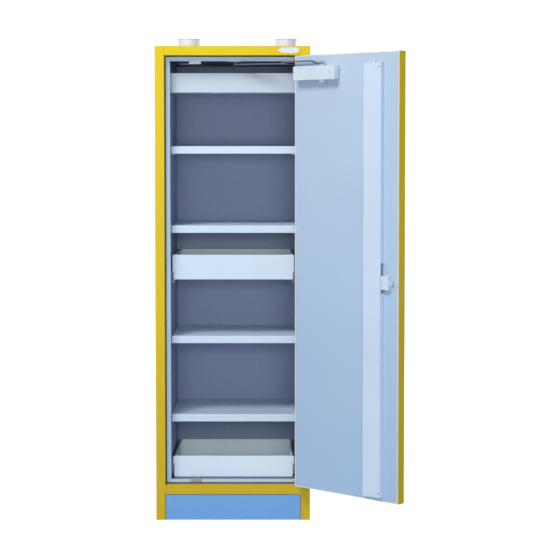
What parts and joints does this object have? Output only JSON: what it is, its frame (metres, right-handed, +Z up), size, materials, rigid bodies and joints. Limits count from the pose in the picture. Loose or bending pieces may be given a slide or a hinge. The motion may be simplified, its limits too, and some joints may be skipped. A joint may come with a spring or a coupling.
{
  "type": "reagent cabinet",
  "caption": "Tall fire-resistant reagent cabinet with one hinged door, shelves, two pull-out drawers, roof duct collars and a blue plinth.",
  "frame": {"origin": "centre of the cabinet's underside, on the floor", "axes": "+X to the right seen from the front, -Y to the front, +Z up"},
  "size_m": [1.0021, 1.0242, 1.995],
  "materials": {
    "yellow_enamel": "smooth powder coat",
    "blue_enamel": "smooth powder coat",
    "light_enamel": "fine powder coat",
    "door_enamel": "fine powder coat",
    "white_enamel": "fine powder coat",
    "dark_steel": "satin",
    "light_board": "melamine-faced board",
    "fire_board": "pressed mineral board",
    "galvanised": "zinc-plated sheet",
    "bright_steel": "satin",
    "dark_seal": "matt",
    "pale_seal": "matt",
    "white_plastic": "moulded",
    "grey_plastic": "moulded",
    "black_plastic": "moulded",
    "brass_plug": "turned"
  },
  "bodies": {
    "cabinet": {"front_frame": "yellow_enamel", "side_panels": "yellow_enamel", "top_panel": "yellow_enamel", "back_panel": "yellow_enamel", "bottom_panel": "galvanised", "stop_frame": "light_enamel", "frame_seal": "dark_seal", "insulation_boards": "fire_board", "lining_panels": "light_board", "shelf_1": "light_enamel", "shelf_2": "light_enamel", "shelf_3": "light_enamel", "shelf_4": "light_enamel", "shelf_pins": "bright_steel", "runners_fixed": "galvanised", "vent_panel": "light_enamel", "roof_collars": "white_enamel", "badge_plate": "bright_steel", "earthing_stud": "brass_plug", "plinth_panel": "blue_enamel", "plinth_clips": "galvanised", "levelling_feet": "black_plastic", "hinge_leaves_frame": "yellow_enamel", "hinge_pins": "bright_steel", "closer_bracket": "dark_steel", "top_keeper": "white_plastic", "bottom_keeper": "grey_plastic", "side_strike": "bright_steel"},
    "door": {"door_outer_pan": "yellow_enamel", "door_core": "fire_board", "door_inner_panel": "door_enamel", "door_edge_strip": "pale_seal", "hinge_leaves_door": "yellow_enamel", "closer_cover": "white_plastic", "closer_body": "galvanised", "lock_cover_strip": "light_enamel", "cover_screws": "bright_steel", "lock_gearbox": "black_plastic", "lock_case": "white_plastic", "rod_guides": "grey_plastic", "handle_plate": "black_plastic", "lock_cylinder": "bright_steel"},
    "main_arm": {"closer_spindle": "bright_steel", "closer_main_arm": "dark_steel"},
    "forearm": {"closer_forearm": "dark_steel"},
    "handle": {"door_handle": "black_plastic"},
    "latch": {"latch_tongue": "bright_steel"},
    "upper_rod": {"top_rod": "bright_steel"},
    "lower_rod": {"bottom_rod": "bright_steel"},
    "plug": {"key_plug": "brass_plug"},
    "mid_drawer": {"mid_drawer_tray": "light_enamel", "mid_drawer_front": "light_enamel", "mid_runner_drawer": "galvanised"},
    "mid_carriers": {"mid_runner_carrier": "galvanised"},
    "low_drawer": {"low_drawer_tray": "light_enamel", "low_drawer_front": "light_enamel", "low_runner_drawer": "galvanised"},
    "low_carriers": {"low_runner_carrier": "galvanised"},
    "exhaust_flap": {"exhaust_damper": "galvanised"},
    "inlet_flap": {"inlet_damper": "galvanised"}
  },
  "joints": [
    {"name": "door_swing", "type": "hinge", "parent": "cabinet", "child": "door", "pos_m": [0.2812, -0.3057, 1.0285], "axis": [0, 0, 1], "range_deg": [-136, 0]},
    {"name": "closer_main_arm_turn", "type": "hinge", "parent": "door", "child": "main_arm", "pos_m": [0.3608, -0.46973, 1.87], "axis": [0, 0, 1], "range_deg": [0, 104.68]},
    {"name": "closer_forearm_turn", "type": "hinge", "parent": "cabinet", "child": "forearm", "pos_m": [0.01095, -0.245, 1.876], "axis": [0, 0, 1], "range_deg": [0, 99.09]},
    {"name": "handle_turn", "type": "hinge", "parent": "door", "child": "handle", "pos_m": [0.63849, -0.65866, 1.012], "axis": [-0.6947, -0.7193, 0], "range_deg": [0, 90]},
    {"name": "latch_slide", "type": "slide", "parent": "door", "child": "latch", "axis": [0.7193, -0.6947, 0], "range_m": [0, 0.01401]},
    {"name": "top_rod_slide", "type": "slide", "parent": "door", "child": "upper_rod", "axis": [0, 0, 1], "range_m": [0, 0.01201]},
    {"name": "bottom_rod_slide", "type": "slide", "parent": "door", "child": "lower_rod", "axis": [0, 0, -1], "range_m": [0, 0.01201]},
    {"name": "key_turn", "type": "hinge", "parent": "door", "child": "plug", "pos_m": [0.63849, -0.65866, 0.94], "axis": [-0.6947, -0.7193, 0], "range_deg": [0, 90]},
    {"name": "mid_drawer_slide", "type": "slide", "parent": "cabinet", "child": "mid_drawer", "axis": [0, -1, 0], "range_m": [0, 0.4]},
    {"name": "mid_carrier_slide", "type": "slide", "parent": "cabinet", "child": "mid_carriers", "axis": [0, -1, 0], "range_m": [0, 0.2]},
    {"name": "low_drawer_slide", "type": "slide", "parent": "cabinet", "child": "low_drawer", "axis": [0, -1, 0], "range_m": [0, 0.4]},
    {"name": "low_carrier_slide", "type": "slide", "parent": "cabinet", "child": "low_carriers", "axis": [0, -1, 0], "range_m": [0, 0.2]},
    {"name": "exhaust_damper_turn", "type": "hinge", "parent": "cabinet", "child": "exhaust_flap", "pos_m": [-0.193, 0, 1.945], "axis": [1, 0, 0], "range_deg": [0, 90]},
    {"name": "inlet_damper_turn", "type": "hinge", "parent": "cabinet", "child": "inlet_flap", "pos_m": [0.217, 0, 1.945], "axis": [1, 0, 0], "range_deg": [0, 90]}
  ],
  "couplings": [
    {"joint": "closer_main_arm_turn", "follows": "door_swing", "ratio": -0.76962},
    {"joint": "closer_forearm_turn", "follows": "door_swing", "ratio": -0.7285},
    {"joint": "latch_slide", "follows": "handle_turn", "m_per_rad": 0.0089127},
    {"joint": "top_rod_slide", "follows": "handle_turn", "m_per_rad": 0.0076394},
    {"joint": "bottom_rod_slide", "follows": "handle_turn", "m_per_rad": 0.0076394},
    {"joint": "mid_carrier_slide", "follows": "mid_drawer_slide", "ratio": 0.5},
    {"joint": "low_carrier_slide", "follows": "low_drawer_slide", "ratio": 0.5}
  ]
}
